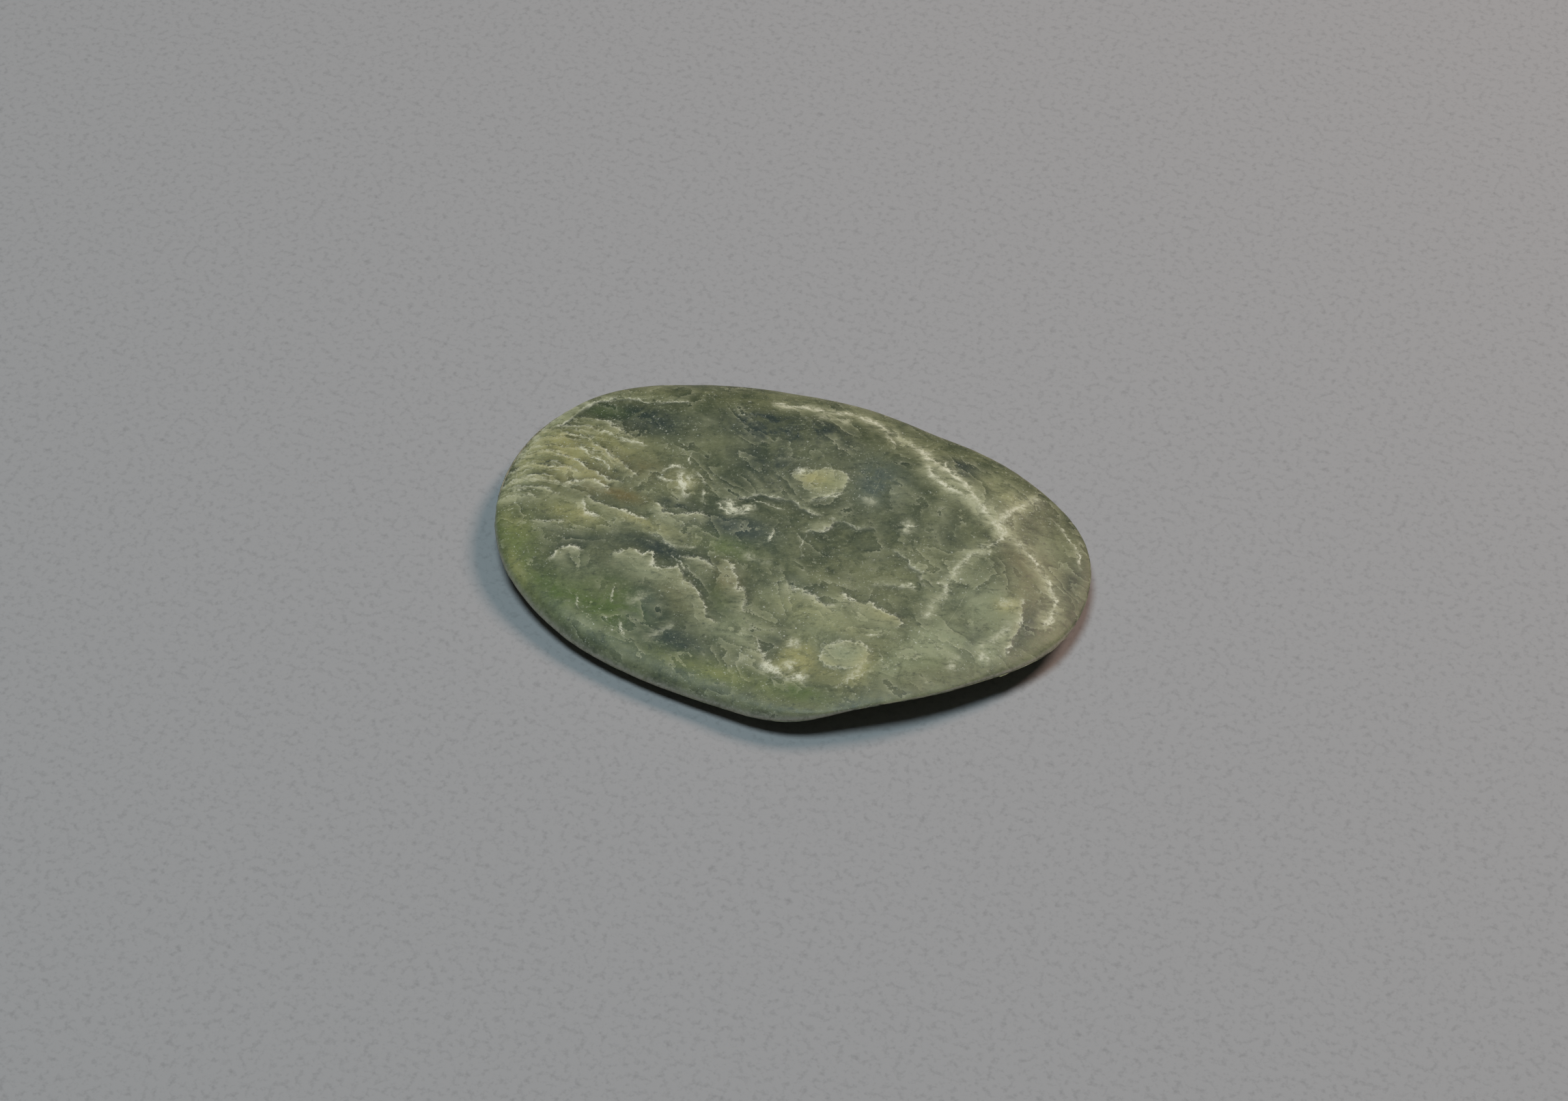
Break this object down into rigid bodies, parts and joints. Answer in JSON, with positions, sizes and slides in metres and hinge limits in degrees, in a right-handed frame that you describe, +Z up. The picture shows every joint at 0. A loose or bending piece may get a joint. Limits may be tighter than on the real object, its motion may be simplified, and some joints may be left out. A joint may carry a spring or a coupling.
{
  "type": "river pebble",
  "caption": "Flat, water-worn oval pebble of green nephrite jade, satin smooth, with pale veins, mottled mossy zones and a rounded rim",
  "frame": {"origin": "on the surface the pebble rests on, under the middle of its bounding box", "axes": "+X along the pebble's length, +Y across its width, +Z up through its thickness"},
  "size_m": [0.0988, 0.0686, 0.0093],
  "materials": {
    "nephrite": "satin"
  },
  "bodies": {
    "root": {"pebble": "nephrite"}
  },
  "joints": []
}
